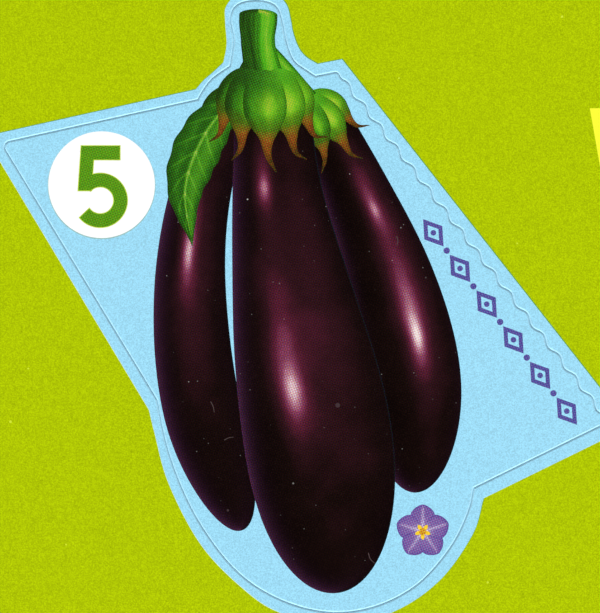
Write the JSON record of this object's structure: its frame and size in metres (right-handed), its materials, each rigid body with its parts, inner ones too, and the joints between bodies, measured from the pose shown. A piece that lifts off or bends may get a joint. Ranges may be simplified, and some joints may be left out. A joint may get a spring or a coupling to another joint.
{
  "type": "die-cut self-adhesive picture stamp on its backing sheet",
  "caption": "Flat self-adhesive stamp, die-cut round its picture with one waved edge, still on a cut piece of printed sheet and backing paper.",
  "frame": {"origin": "middle of the backing's underside", "axes": "+X to the picture's right, +Y to its top, +Z out of the printed face"},
  "size_m": [0.062, 0.06, 0.0002],
  "materials": {
    "backing_paper": "pale blue, smooth, silicone coated on its upper side",
    "glue": "clear, tacky",
    "stamp_print": "coated, offset printed, half matt",
    "sheet_print": "coated, offset printed, half matt"
  },
  "bodies": {
    "root": {"backing": "backing_paper", "stamp_glue": "glue", "surround_glue": "glue", "stamp_paper": "stamp_print", "surround_paper": "sheet_print"}
  },
  "joints": []
}
